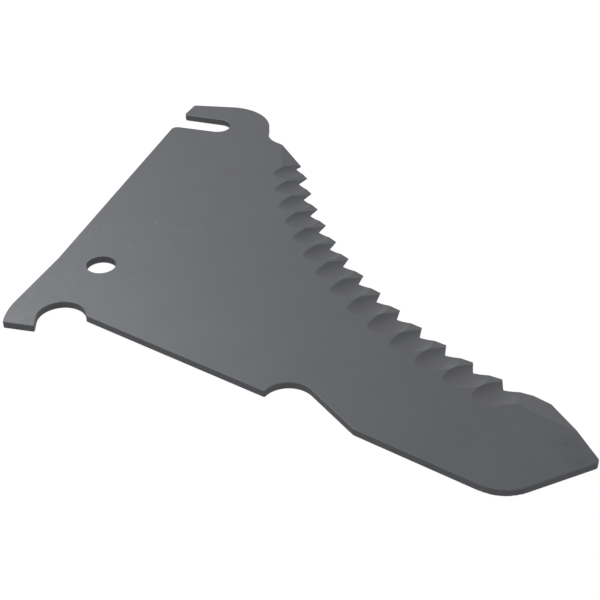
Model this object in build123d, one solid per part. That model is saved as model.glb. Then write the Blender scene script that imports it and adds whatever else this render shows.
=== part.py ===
from build123d import *
from math import acos, atan2, cos, degrees, hypot, radians, sin, sqrt, tan
import os

# Forage wagon knife: one flat steel plate with a hook and a slot at its head, a pivot
# hole, two round notches in its back and a concave serrated cutting edge.
# It lies on its plain back face, with the ground face up.
# The origin is the centre of the pivot hole on the back face. +X runs along the back
# edge towards the point, +Y towards the head, and +Z out of the ground face.
# All sizes are in millimetres and all angles in degrees.

# Plate
plate_thickness = 5.0
corner_break = 0.5
back_edge_y = -49.3
bore_diameter = 20.0

# Left side, which leans towards the head and bends once near the pivot hole
left_bend = (-29.7, -9.3)
left_upper_angle = 104.8
left_lower_angle = -78.9
left_lower_length = 55.7

# Foot, which hooks forward below the first round notch
foot_back_radius = 50.0
foot_heel = (-10.3, -82.7)
foot_toe = (9.3, -75.3)
foot_corner_radius = 1.0

# Two round notches in the back edge, the second with a ramp that leaves it tangentially
first_notch_centre = (16.6, -58.5)
first_notch_radius = 15.7
second_notch_centre = (182.2, -48.2)
second_notch_radius = 16.2
ramp_angle = -22.9
ramp_end_radius = 3.0
notch_corner_radius = 1.2

# Point, beyond the ramp
point_back_angle = -1.0
point_heel_x = 319.9
point_heel_radius = 27.3
point_tip = (353.4, 1.4)
point_tip_radius = 3.3

# Head with its hook and the slot under it
slot_width = 20.0
slot_end_centre = (-51.5, 203.2)
slot_upper_angle = 16.8
slot_lower_angle = 18.2
slot_lip_radius = 5.0
hook_end_bottom_x = -85.4
hook_end_top = (-88.7, 221.8)
hook_end_radius = 2.8
head_peak = (-31.7, 250.7)
head_radius = 34.0
neck_corner = (-5.3, 206.2)
neck_radius = 18.0
shoulder_corner = (8.3, 205.6)
shoulder_radius = 8.0

# Cutting edge: the tooth tips lie on one arc and the roots on a second arc behind it
tooth_count = 14
tooth_pitch = 22.454
edge_middle = (141.07, 96.27)
edge_bearing = -122.77
tip_arc_radius = 391.4
tooth_depth = 6.22
tooth_lead = 6.3
root_arc_drop = 1.75
root_radius = 0.8
last_flank = (1.4, 4.8)
edge_end_x = 309.5

# Grinding: a long bevel along the edge, then one wheel pass for each tooth
edge_land = 0.35
edge_zone = 9.5
cutter_margin = 5.0
bevel_angle = 15.0
wheel_radius = 121.5
wheel_heading = 72.5
wheel_overrun = 10.1
wheel_shift = -0.9
wheel_drift = 0.42
steep_round_radius = 8.4
steep_lean = 57.0
steep_width = 14.0
gentle_round_radius = 39.0
gentle_lean = 17.4
gentle_width = 32.0


def on_circle(centre, radius, angle):
    """Point on a circle in the plane of the plate."""
    turn = radians(angle)
    return (centre[0] + radius * cos(turn), centre[1] + radius * sin(turn))


def at_x(start, angle, x):
    """Point with a given X on the line through another point."""
    return (x, start[1] + (x - start[0]) * tan(radians(angle)))


def tangent_point(outside, centre, radius, side):
    """Where the tangent from an outside point touches a circle."""
    dx = outside[0] - centre[0]
    dy = outside[1] - centre[1]
    opening = degrees(acos(radius / hypot(dx, dy)))
    bearing = degrees(atan2(dy, dx))
    return on_circle(centre, radius, bearing + side * opening)


def back_edge_crossing(centre, radius, side):
    """Where a round notch meets the back edge."""
    drop = back_edge_y - centre[1]
    return (centre[0] + side * sqrt(radius ** 2 - drop ** 2), back_edge_y)


def arc_height_at(centre, radius, x):
    """Y of the lower half of a circle at a given X."""
    return centre[1] - sqrt(radius ** 2 - (x - centre[0]) ** 2)


# Arcs and points of the outline that follow from the sizes above
tip_arc_centre = on_circle(edge_middle, tip_arc_radius, edge_bearing + 180)
root_arc_centre = (tip_arc_centre[0], tip_arc_centre[1] - root_arc_drop)
root_arc_radius = tip_arc_radius + tooth_depth
tooth_step = degrees(tooth_pitch / tip_arc_radius)
foot_back_start = on_circle(left_bend, left_lower_length, left_lower_angle)
toe_tangent = tangent_point(foot_toe, first_notch_centre, first_notch_radius, -1)
first_notch_end = back_edge_crossing(first_notch_centre, first_notch_radius, 1)
second_notch_start = back_edge_crossing(second_notch_centre, second_notch_radius, -1)
ramp_start = on_circle(second_notch_centre, second_notch_radius, ramp_angle + 90)
ramp_drop = ramp_start[1] - back_edge_y
ramp_end = (ramp_start[0] - ramp_drop / tan(radians(ramp_angle)), back_edge_y)
point_heel = at_x(ramp_end, point_back_angle, point_heel_x)
edge_end = (edge_end_x, arc_height_at(tip_arc_centre, tip_arc_radius, edge_end_x))
slot_upper_end = on_circle(slot_end_centre, slot_width / 2, slot_upper_angle + 90)
slot_lower_end = on_circle(slot_end_centre, slot_width / 2, slot_lower_angle - 90)
hook_end_bottom = at_x(slot_upper_end, slot_upper_angle, hook_end_bottom_x)


def slot_lip():
    """Corner where the slot's lower side meets the left side."""
    run = tan(radians(slot_lower_angle))
    lean = 1 / tan(radians(left_upper_angle))
    rise = left_bend[1] - slot_lower_end[1] + run * (slot_lower_end[0] - left_bend[0])
    height = -rise / (1 - run * lean)
    return (left_bend[0] + lean * height, left_bend[1] + height)


def tooth_angle(tooth):
    """Bearing of a tooth from the centre of the tip arc, counted from the point."""
    return edge_bearing + ((tooth_count - 1) / 2 - tooth) * tooth_step


def tooth_tip(tooth):
    """Where a whole tooth ends on the tip arc."""
    return on_circle(tip_arc_centre, tip_arc_radius, tooth_angle(tooth))


def tooth_roots():
    """Tooth roots from the point towards the head."""
    lead = degrees(tooth_lead / tip_arc_radius)
    roots = []
    for tooth in range(tooth_count):
        roots.append(on_circle(root_arc_centre, root_arc_radius, tooth_angle(tooth) + lead))
    return roots


def tooth_tips():
    """Tooth tips from the point towards the head, the last one cut short by the blank."""
    tips = [tooth_tip(tooth) for tooth in range(tooth_count - 1)]
    last_root = tooth_roots()[-1]
    return tips + [(last_root[0] + last_flank[0], last_root[1] + last_flank[1])]


def blank_corners():
    """Corners of the blank before the teeth, anticlockwise, each with its radius."""
    return [
        (foot_heel, foot_corner_radius),
        (foot_toe, foot_corner_radius),
        (toe_tangent, 0),
        (first_notch_end, 0),
        (second_notch_start, 0),
        (ramp_start, 0),
        (ramp_end, ramp_end_radius),
        (point_heel, point_heel_radius),
        (point_tip, point_tip_radius),
        (edge_end, 0),
    ]


def head_corners():
    """Corners from the first tooth round the head to the left side, with their radii."""
    return [
        (shoulder_corner, shoulder_radius),
        (neck_corner, neck_radius),
        (head_peak, head_radius),
        (hook_end_top, hook_end_radius),
        (hook_end_bottom, hook_end_radius),
        (slot_upper_end, 0),
        (slot_lower_end, 0),
        (slot_lip(), slot_lip_radius),
        (left_bend, 0),
        (foot_back_start, 0),
    ]


def toothed_edge():
    """Edge from the end of the plain stretch to the first tooth by the head."""
    points = [tooth_tip(-1)]
    for root, tip in zip(tooth_roots(), tooth_tips()):
        points += [root, tip]
    return points


def nearest_vertex(shape, point):
    """Vertex of a flat shape closest to a point."""
    return shape.vertices().sort_by_distance((point[0], point[1], 0))[0]


def blank_outline():
    """Flat outline of the knife with its corners rounded and its round cut-outs made."""
    lower = blank_corners()
    teeth = toothed_edge()
    upper = head_corners()
    middle_x = (edge_end_x + teeth[0][0]) / 2
    plain_middle = (middle_x, arc_height_at(tip_arc_centre, tip_arc_radius, middle_x))
    with BuildSketch() as drawing:
        with BuildLine():
            Polyline(*[point for point, radius in lower])
            ThreePointArc(edge_end, plain_middle, teeth[0])
            Polyline(*teeth, *[point for point, radius in upper])
            RadiusArc(foot_back_start, foot_heel, -foot_back_radius)
        make_face()
    outline = drawing.sketch
    for point, radius in lower + upper:
        if radius:
            outline = fillet(nearest_vertex(outline, point), radius)
    for root in tooth_roots():
        outline = fillet(nearest_vertex(outline, root), root_radius)
    for centre, radius in round_cuts():
        outline = outline - Pos(centre[0], centre[1]) * Circle(radius)
    for corner in (first_notch_end, second_notch_start):
        outline = fillet(nearest_vertex(outline, corner), notch_corner_radius)
    return outline


def round_cuts():
    """Centre and radius of each round cut-out: slot end, both notches and pivot hole."""
    return [
        (slot_end_centre, slot_width / 2),
        (first_notch_centre, first_notch_radius),
        (second_notch_centre, second_notch_radius),
        ((0, 0), bore_diameter / 2),
    ]


def edge_bevel():
    """Ring above the long bevel, to be cut away along the edge."""
    reach = (plate_thickness - edge_land) / tan(radians(bevel_angle))
    margin_rise = cutter_margin * tan(radians(bevel_angle))
    inner = tip_arc_radius - cutter_margin
    outer = tip_arc_radius + reach + cutter_margin
    profile = Polyline(
        (inner, 0, edge_land - margin_rise),
        (outer, 0, plate_thickness + margin_rise),
        (inner, 0, plate_thickness + margin_rise),
        close=True,
    )
    ring = revolve(make_face(profile.edges()), Axis.Z)
    return Pos(tip_arc_centre[0], tip_arc_centre[1]) * ring


def wheel_flank(round_radius, lean, width, side):
    """Half of the wheel's rim section: an arc from the rim, then a straight flank."""
    points = []
    for turn in (lean / 2, lean):
        drop = round_radius * (1 - cos(radians(turn)))
        out = round_radius * sin(radians(turn))
        points.append((wheel_radius - drop, side * out))
    end_drop = drop + (width - out) * tan(radians(lean))
    return points + [(wheel_radius - end_drop, side * width)]


def grinding_wheel():
    """Wheel with a rounded rim, steep on the head side and gentle on the point side."""
    rim = (wheel_radius, 0)
    steep = wheel_flank(steep_round_radius, steep_lean, steep_width, 1)
    gentle = wheel_flank(gentle_round_radius, gentle_lean, gentle_width, -1)
    with BuildSketch() as section:
        with BuildLine():
            ThreePointArc(gentle[1], gentle[0], rim)
            ThreePointArc(rim, steep[0], steep[1])
            Polyline(steep[1], steep[2], (0, steep_width), (0, -gentle_width), gentle[2], gentle[1])
        make_face()
    return revolve(section.sketch, Axis.Y)


def wheel_at(tooth, root):
    """Wheel placed so that its rim leaves the edge land at the root of one tooth."""
    shift = wheel_shift + wheel_drift * ((tooth_count - 1) / 2 - tooth)
    pass_point = on_circle(root, shift, wheel_heading + 90)
    foot = on_circle(pass_point, wheel_overrun, wheel_heading)
    rise = sqrt(wheel_radius ** 2 - wheel_overrun ** 2)
    place = Pos(foot[0], foot[1], edge_land + rise)
    return place * Rot(0, 0, wheel_heading) * grinding_wheel()


def is_plain_rim(edge):
    """Whether an edge of the plate's two faces lies away from the teeth and the hole."""
    middle = edge.center()
    from_arc = hypot(middle.X - tip_arc_centre[0], middle.Y - tip_arc_centre[1])
    from_bore = hypot(middle.X, middle.Y)
    return from_arc > tip_arc_radius + edge_zone and from_bore > bore_diameter


def knife_blade():
    """The whole knife: blank, broken corners, long bevel and one flute for each tooth."""
    blade = extrude(blank_outline(), plate_thickness)
    rims = blade.faces().filter_by(Axis.Z).edges()
    blade = fillet(rims.filter_by(is_plain_rim), corner_break)
    blade = blade - edge_bevel()
    for tooth, root in enumerate(tooth_roots()):
        blade = blade - wheel_at(tooth, root)
    return blade


blade = knife_blade()
os.makedirs("parts", exist_ok=True)
export_step(blade, "parts/knife_blade.step")
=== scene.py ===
# %% [markdown]
# Forage wagon knife: the fixed frame
#
# The knife is one flat plate of steel, punched from a sheet and ground along its edge.
# The solid model already holds its whole shape, so this lesson gives it its looks.
# Everything is in metres. The origin is the centre of the pivot hole on the back face,
# X runs along the back edge towards the point and Z points out of the ground face.

# %% load the frame
import bpy
import bmesh
import numpy as np
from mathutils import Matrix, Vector


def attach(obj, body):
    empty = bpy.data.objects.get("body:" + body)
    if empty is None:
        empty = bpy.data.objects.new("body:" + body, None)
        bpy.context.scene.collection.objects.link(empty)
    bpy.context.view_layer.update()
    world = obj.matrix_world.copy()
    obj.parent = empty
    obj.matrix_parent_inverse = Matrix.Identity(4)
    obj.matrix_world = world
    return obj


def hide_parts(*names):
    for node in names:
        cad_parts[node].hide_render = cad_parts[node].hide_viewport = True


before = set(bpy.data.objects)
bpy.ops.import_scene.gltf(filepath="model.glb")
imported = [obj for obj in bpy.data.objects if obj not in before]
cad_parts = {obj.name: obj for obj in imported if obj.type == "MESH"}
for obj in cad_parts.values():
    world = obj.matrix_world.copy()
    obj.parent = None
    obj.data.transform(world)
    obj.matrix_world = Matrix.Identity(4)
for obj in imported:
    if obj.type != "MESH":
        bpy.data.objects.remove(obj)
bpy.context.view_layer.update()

# %% [markdown]
# The camera
#
# The photograph looks down on the plate from the side of its back edge.
# A camera can be placed by eye, but then the teeth never line up all along the blade.
# Here its place was worked out from the round hole, the even pitch of the teeth and the
# thickness seen at the near walls. A long lens keeps the far end from shrinking much.

# %% camera
CAMERA_PLACE = Vector((0.48761, -0.50642, 0.47162))
CAMERA_TARGET = Vector((0.12989, 0.04443, 0.0))
SENSOR = 36.0
FOCAL_RATIO = 1244 / 600


def aim(place, target):
    """Rotation that turns a camera or lamp at one place towards another."""
    return (target - place).to_track_quat("-Z", "Y").to_euler()


camera_data = bpy.data.cameras.new("photo_camera")
camera_data.sensor_width = SENSOR
camera_data.lens = SENSOR * FOCAL_RATIO
camera_data.clip_end = 50.0
camera = bpy.data.objects.new("photo_camera", camera_data)
camera.location = CAMERA_PLACE
camera.rotation_euler = aim(CAMERA_PLACE, CAMERA_TARGET)
bpy.context.scene.collection.objects.link(camera)
bpy.context.scene.camera = camera
bpy.context.scene.view_settings.view_transform = "Standard"
print("camera lens", round(camera_data.lens, 2), "mm")

# %% [markdown]
# Helpers for node trees
#
# Every material below is a small tree of nodes. Two helpers keep the cells short:
# one makes a node and sets its inputs by name, the other makes an empty tree.

# %% node helpers
def add(tree, kind, inputs=None, **settings):
    """New node of a kind, with settings on the node and values or links on its inputs."""
    node = tree.nodes.new(kind)
    for name, value in settings.items():
        setattr(node, name, value)
    for name, value in (inputs or {}).items():
        if isinstance(value, bpy.types.NodeSocket):
            tree.links.new(value, node.inputs[name])
        else:
            node.inputs[name].default_value = value
    return node


def empty_tree(owner):
    """Node tree of a material or world, with nothing in it."""
    owner.use_nodes = True
    owner.node_tree.nodes.clear()
    return owner.node_tree


def math(tree, operation, first, second=0.0, clamp=False):
    """Output of one Math node."""
    node = add(tree, "ShaderNodeMath", {0: first, 1: second}, operation=operation,
               use_clamp=clamp)
    return node.outputs[0]


# %% [markdown]
# The studio
#
# The knife lies on a white sheet whose edges can't be seen.
# A sheet lit to pure white would also flood the steel, so the white is kept apart:
# camera, glossy and transmission rays see a sheet that shines by itself, while all
# other rays see plain white card. A small share of card is left in what the camera
# sees, so the knife still lays its shadow on the sheet.

# %% studio sheet and world
def seen_directly(tree):
    """One for camera, glossy and transmission rays, and zero for all others."""
    path = add(tree, "ShaderNodeLightPath")
    seen = math(tree, "MAXIMUM", path.outputs["Is Camera Ray"], path.outputs["Is Glossy Ray"])
    return math(tree, "MAXIMUM", seen, path.outputs["Is Transmission Ray"])


def backdrop(tree, output_kind, plain, shining):
    """Mix of the shader that lights the knife and the shader that the camera sees."""
    mix = add(tree, "ShaderNodeMixShader", {"Fac": seen_directly(tree), 1: plain, 2: shining})
    add(tree, output_kind, {"Surface": mix.outputs[0]})


SHEET_HALF = 3.0
SHEET_DROP = 0.0002
SHADOW_SHARE = 0.06
CARD = (0.85, 0.85, 0.85, 1)
WHITE = (1, 1, 1, 1)
SKY_STRENGTH = 0.62

sheet_mesh = bpy.data.meshes.new("studio_sheet")
sheet_corners = SHEET_HALF * np.array([[-1, -1, 0], [1, -1, 0], [1, 1, 0], [-1, 1, 0]])
sheet_mesh.from_pydata(sheet_corners.tolist(), [], [(0, 1, 2, 3)])
sheet = bpy.data.objects.new("studio_sheet", sheet_mesh)
sheet.location.z = -SHEET_DROP
bpy.context.scene.collection.objects.link(sheet)

sheet_material = bpy.data.materials.new("white_sheet")
tree = empty_tree(sheet_material)
card = add(tree, "ShaderNodeBsdfDiffuse", {"Color": CARD})
faint_card = add(tree, "ShaderNodeBsdfDiffuse", {"Color": (SHADOW_SHARE,) * 3 + (1,)})
shine = add(tree, "ShaderNodeEmission", {"Color": WHITE, "Strength": 1 - SHADOW_SHARE / 2})
shining_card = add(tree, "ShaderNodeAddShader", {0: faint_card.outputs[0], 1: shine.outputs[0]})
backdrop(tree, "ShaderNodeOutputMaterial", card.outputs[0], shining_card.outputs[0])
sheet_mesh.materials.append(sheet_material)

world = bpy.data.worlds.new("studio_sky")
bpy.context.scene.world = world
tree = empty_tree(world)
soft = add(tree, "ShaderNodeBackground", {"Color": WHITE, "Strength": SKY_STRENGTH})
white = add(tree, "ShaderNodeBackground", {"Color": WHITE, "Strength": 1.0})
camera_path = add(tree, "ShaderNodeLightPath")
sky = add(tree, "ShaderNodeMixShader", {"Fac": camera_path.outputs["Is Camera Ray"],
                                        1: soft.outputs[0], 2: white.outputs[0]})
add(tree, "ShaderNodeOutputWorld", {"Surface": sky.outputs[0]})
print("studio sheet", 2 * SHEET_HALF, "m square, sky strength", SKY_STRENGTH)

# %% [markdown]
# The lamp
#
# The face of the knife is a little lighter at the hook than at the point, the ramps of
# the flutes are lighter than the face and their steep walls are dark.
# So most of the light is an even sky, and one large soft lamp stands beyond the hook.
# Its distance sets how fast the light falls off along the blade.

# %% lamp
LAMP_BEARING = np.radians(162.0)
LAMP_HEIGHT_ANGLE = np.radians(48.0)
LAMP_DISTANCE = 1.35
LAMP_SIZE = 0.7
LAMP_POWER = 7.5

lamp_direction = np.array([np.cos(LAMP_BEARING) * np.cos(LAMP_HEIGHT_ANGLE),
                           np.sin(LAMP_BEARING) * np.cos(LAMP_HEIGHT_ANGLE),
                           np.sin(LAMP_HEIGHT_ANGLE)])
lamp_data = bpy.data.lights.new("hook_side_lamp", "AREA")
lamp_data.shape = "DISK"
lamp_data.size = LAMP_SIZE
lamp_data.energy = LAMP_POWER
lamp = bpy.data.objects.new("hook_side_lamp", lamp_data)
lamp.location = CAMERA_TARGET + LAMP_DISTANCE * Vector(lamp_direction)
lamp.rotation_euler = aim(lamp.location, CAMERA_TARGET)
bpy.context.scene.collection.objects.link(lamp)
print("lamp at", [round(value, 3) for value in lamp.location])

# %% [markdown]
# The skin of the knife
#
# The solid model's mesh is loose triangles, so its round parts would show flat facets.
# Its mesh can't be changed, so a copy is merged and takes its place.
# Smooth shading on the whole copy would round the flat face too. Instead an edge stays
# sharp where two kinds of surface meet or where the faces turn by more than a few
# degrees, as at the crests between the flutes.

# %% merge a copy
MERGE_REACH = 2e-6

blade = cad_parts["knife_blade"]
skin_mesh = blade.data.copy()
skin_mesh.name = "knife_skin"
work = bmesh.new()
work.from_mesh(skin_mesh)
bmesh.ops.remove_doubles(work, verts=work.verts, dist=MERGE_REACH)
open_edges = sum(not edge.is_manifold for edge in work.edges)
work.to_mesh(skin_mesh)
work.free()
skin = bpy.data.objects.new("knife_skin", skin_mesh)
bpy.context.scene.collection.objects.link(skin)
print("skin", len(skin_mesh.vertices), "vertices,", len(skin_mesh.polygons), "faces,",
      open_edges, "open edges")

# %% [markdown]
# Kinds of surface
#
# The real plate has four finishes. The face is rolled steel, the rim is punched, the rim's
# corners are broken, and the edge is ground. The broken corners are also painted lighter:
# a painted highlight along the rim, partly rubbed wear.
# A paint mask would need an unwrapped picture. The finishes follow the shape exactly, so
# each face's own direction and height tell which finish it has, and the answer is
# kept as one attribute for each finish.

# %% sort the faces
PLATE_THICKNESS = 0.005
LEVEL_SLACK = 0.00002
TIP_ARC_CENTRE = np.array([0.35292, 0.42540])
EDGE_BAND = (0.3795, 0.46)


def face_values(name, width=3):
    """One value or vector for each face, read as a whole array."""
    values = np.empty(len(skin_mesh.polygons) * width, dtype=np.float32)
    skin_mesh.polygons.foreach_get(name, values)
    return values.reshape(-1, width) if width > 1 else values


face_normal = face_values("normal")
face_centre = face_values("center")
upward = face_normal[:, 2]
arc_distance = np.hypot(*(face_centre[:, :2] - TIP_ARC_CENTRE).T)
on_top = (upward > 0.9999) & (face_centre[:, 2] > PLATE_THICKNESS - LEVEL_SLACK)
on_back = upward < -0.9999
near_edge = (arc_distance > EDGE_BAND[0]) & (arc_distance < EDGE_BAND[1])
is_wall = np.abs(upward) < 0.15
is_ground = near_edge & (upward > 0.15) & ~on_top
is_broken = ~on_top & ~on_back & ~is_wall & ~is_ground
finish = on_top * 1 + on_back * 2 + is_wall * 3 + is_ground * 4 + is_broken * 5
print("faces: top", on_top.sum(), "back", on_back.sum(), "wall", is_wall.sum(),
      "ground", is_ground.sum(), "broken corner", is_broken.sum())
print("ground faces reach", np.round(arc_distance[is_ground].min(), 4), "to",
      np.round(arc_distance[is_ground].max(), 4), "m from the middle of the tip arc")

# %% keep the finishes as attributes
for name, mask in (("ground", is_ground), ("punched", is_wall), ("broken", is_broken)):
    layer = skin_mesh.attributes.new(name, "FLOAT", "FACE")
    layer.data.foreach_set("value", mask.astype(np.float32))

# %% sharp edges
SOFT_TURN = np.cos(np.radians(13.0))

edge_faces = {}
for polygon in skin_mesh.polygons:
    for key in polygon.edge_keys:
        edge_faces.setdefault(key, []).append(polygon.index)
pairs = np.array([(edge_faces[edge.key] * 2)[:2] for edge in skin_mesh.edges])
turn = np.einsum("ij,ij->i", face_normal[pairs[:, 0]], face_normal[pairs[:, 1]])
sharp = (turn < SOFT_TURN) | (finish[pairs[:, 0]] != finish[pairs[:, 1]])
skin_mesh.polygons.foreach_set("use_smooth", np.ones(len(skin_mesh.polygons), dtype=bool))
sharp_layer = skin_mesh.attributes.get("sharp_edge")
if sharp_layer is None:
    sharp_layer = skin_mesh.attributes.new("sharp_edge", "BOOLEAN", "EDGE")
sharp_layer.data.foreach_set("value", sharp)
print("sharp edges", sharp.sum(), "of", len(sharp))

# %% [markdown]
# The steel
#
# The knife is bare spring steel with a dark, satin, faintly blue skin from the rolling
# mill and the hardening bath. It isn't one even grey: large soft patches and a fine
# grain run through it, a few small bright flecks lie near the pivot hole, and the skin is
# rubbed darker beside the point. The walls were torn by the punch, so they are rougher.
# Their colour is painted darker, partly for the punched skin and partly as painted shade
# of the walls in the hole and slot. The broken corners carry a painted highlight, partly
# rubbed wear.
# The flutes and the bevel carry fine lines along the way of the grinding wheel.
#
# A picture of steel would repeat and blur. Noise worked out from the object's own
# coordinates stays sharp in any view and never slides.

# %% steel tree and coordinates
STEEL_COLOUR = (0.1235, 0.1265, 0.1360, 1)
GRINDING_BEARING = np.radians(72.5)

steel = bpy.data.materials.new("blade_steel")
steel_tree = empty_tree(steel)
place = add(steel_tree, "ShaderNodeTexCoord").outputs["Object"]
ground, punched, broken = (
    add(steel_tree, "ShaderNodeAttribute", attribute_name=name).outputs["Fac"]
    for name in ("ground", "punched", "broken"))
along_wheel = add(steel_tree, "ShaderNodeMapping",
                  {"Vector": place, "Rotation": (0, 0, -GRINDING_BEARING),
                   "Scale": (0.035, 1.0, 1.0)}, vector_type="POINT").outputs[0]

# %% [markdown]
# Patches, grain and flecks
#
# Each is one noise at its own scale. A colour is never swapped for another here:
# the noises only make the steel a few hundredths lighter or darker, which is how little
# the real plate varies.

# %% noises
def noise(coordinates, scale, detail, low, high, roughness=0.55):
    """Noise at one scale, spread so that low goes to zero and high goes to one."""
    raw = add(steel_tree, "ShaderNodeTexNoise",
              {"Vector": coordinates, "Scale": scale, "Detail": detail,
               "Roughness": roughness}).outputs["Fac"]
    spread = add(steel_tree, "ShaderNodeMapRange",
                 {"Value": raw, "From Min": low, "From Max": high})
    return spread.outputs["Result"]


patches = noise(place, 28.0, 3.0, 0.30, 0.70)
mottle = noise(place, 150.0, 4.0, 0.30, 0.70)
grain = noise(place, 1400.0, 2.0, 0.25, 0.75)
flecks = noise(place, 330.0, 1.0, 0.66, 0.74)
wheel_lines = noise(along_wheel, 2600.0, 3.0, 0.25, 0.75, roughness=0.65)

# %% [markdown]
# Marks with a place of their own
#
# Two soft dark smudges lie beside the point, and the bright flecks are only near the
# pivot hole and up the left side. Each place is a round mask: one at its centre, and
# fading to zero at its radius.

# %% local masks
def round_mask(centre, radius):
    """One minus the distance to the centre over the radius, smoothed and kept above zero."""
    away = add(steel_tree, "ShaderNodeVectorMath", {0: place, 1: (*centre, PLATE_THICKNESS)},
               operation="DISTANCE").outputs["Value"]
    fade = add(steel_tree, "ShaderNodeMapRange",
               {"Value": away, "From Min": radius, "From Max": 0.0},
               interpolation_type="SMOOTHSTEP")
    return fade.outputs["Result"]


smudge = math(steel_tree, "MAXIMUM", round_mask((0.3336, 0.0035), 0.014),
              round_mask((0.3428, -0.0040), 0.011))
smudge = math(steel_tree, "MULTIPLY", smudge, mottle)
fleck_place = math(steel_tree, "MAXIMUM", round_mask((0.0097, 0.0600), 0.055),
                   round_mask((-0.0150, 0.0400), 0.055))
flecks = math(steel_tree, "MULTIPLY", flecks, fleck_place)

# %% [markdown]
# From masks to lightness
#
# All masks meet in one number, the lightness, which multiplies the steel's colour.
# Each mask adds or takes its own small share, so any one of them can be turned up or
# down without upsetting the rest.

# %% lightness
SHARES = (
    (patches, 0.050), (mottle, 0.040), (grain, 0.030), (flecks, 0.22), (smudge, -0.22),
)
# The broken corners' share is a painted highlight along the rounded rim edges, partly rubbed
# wear.
# The walls' share darkens every wall. It is partly painted shade, taken from the dark walls
# inside the hole and slot, and partly the darker torn skin from the punch.
FINISH_AND_PAINTED_LIGHT_SHARES = ((punched, -0.20), (broken, 0.10), (ground, -0.01))

lightness = 1.0 - sum(share for mask, share in SHARES[:3]) / 2
for mask, share in SHARES + FINISH_AND_PAINTED_LIGHT_SHARES:
    scaled = math(steel_tree, "MULTIPLY", mask, share)
    lightness = math(steel_tree, "ADD", scaled, lightness)
line_mask = math(steel_tree, "MULTIPLY", wheel_lines, ground)
lightness = math(steel_tree, "ADD", math(steel_tree, "MULTIPLY", line_mask, 0.03), lightness)
colour = add(steel_tree, "ShaderNodeVectorMath",
             {0: STEEL_COLOUR[:3], "Scale": lightness}, operation="SCALE").outputs["Vector"]

# %% [markdown]
# Roughness and relief
#
# The rolled skin is satin with a fine pitting, the ground faces are a little smoother
# and lined, and the punched walls are rough. The relief is a height of a few
# hundredths of a millimetre that feeds one Bump node.

# %% roughness, relief and surface
ROUGHNESS = 0.50
METALLIC = 0.55
RELIEF = 0.00003

roughness = math(steel_tree, "ADD", math(steel_tree, "MULTIPLY", mottle, 0.08), ROUGHNESS - 0.04)
roughness = math(steel_tree, "ADD", math(steel_tree, "MULTIPLY", punched, 0.20), roughness)
roughness = math(steel_tree, "ADD", math(steel_tree, "MULTIPLY", ground, -0.05), roughness)
pitting = math(steel_tree, "ADD", grain, math(steel_tree, "MULTIPLY", punched, mottle))
height = math(steel_tree, "ADD", pitting, line_mask)
relief = add(steel_tree, "ShaderNodeBump",
             {"Height": height, "Strength": 0.35, "Distance": RELIEF})
surface = add(steel_tree, "ShaderNodeBsdfPrincipled",
              {"Base Color": colour, "Metallic": METALLIC, "Roughness": roughness,
               "Normal": relief.outputs["Normal"]})
add(steel_tree, "ShaderNodeOutputMaterial", {"Surface": surface.outputs[0]})
skin_mesh.materials.clear()
skin_mesh.materials.append(steel)
print("steel nodes", len(steel_tree.nodes))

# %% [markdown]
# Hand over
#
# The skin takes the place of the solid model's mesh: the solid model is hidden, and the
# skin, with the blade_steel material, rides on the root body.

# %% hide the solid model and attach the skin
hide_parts("knife_blade")
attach(skin, "root")
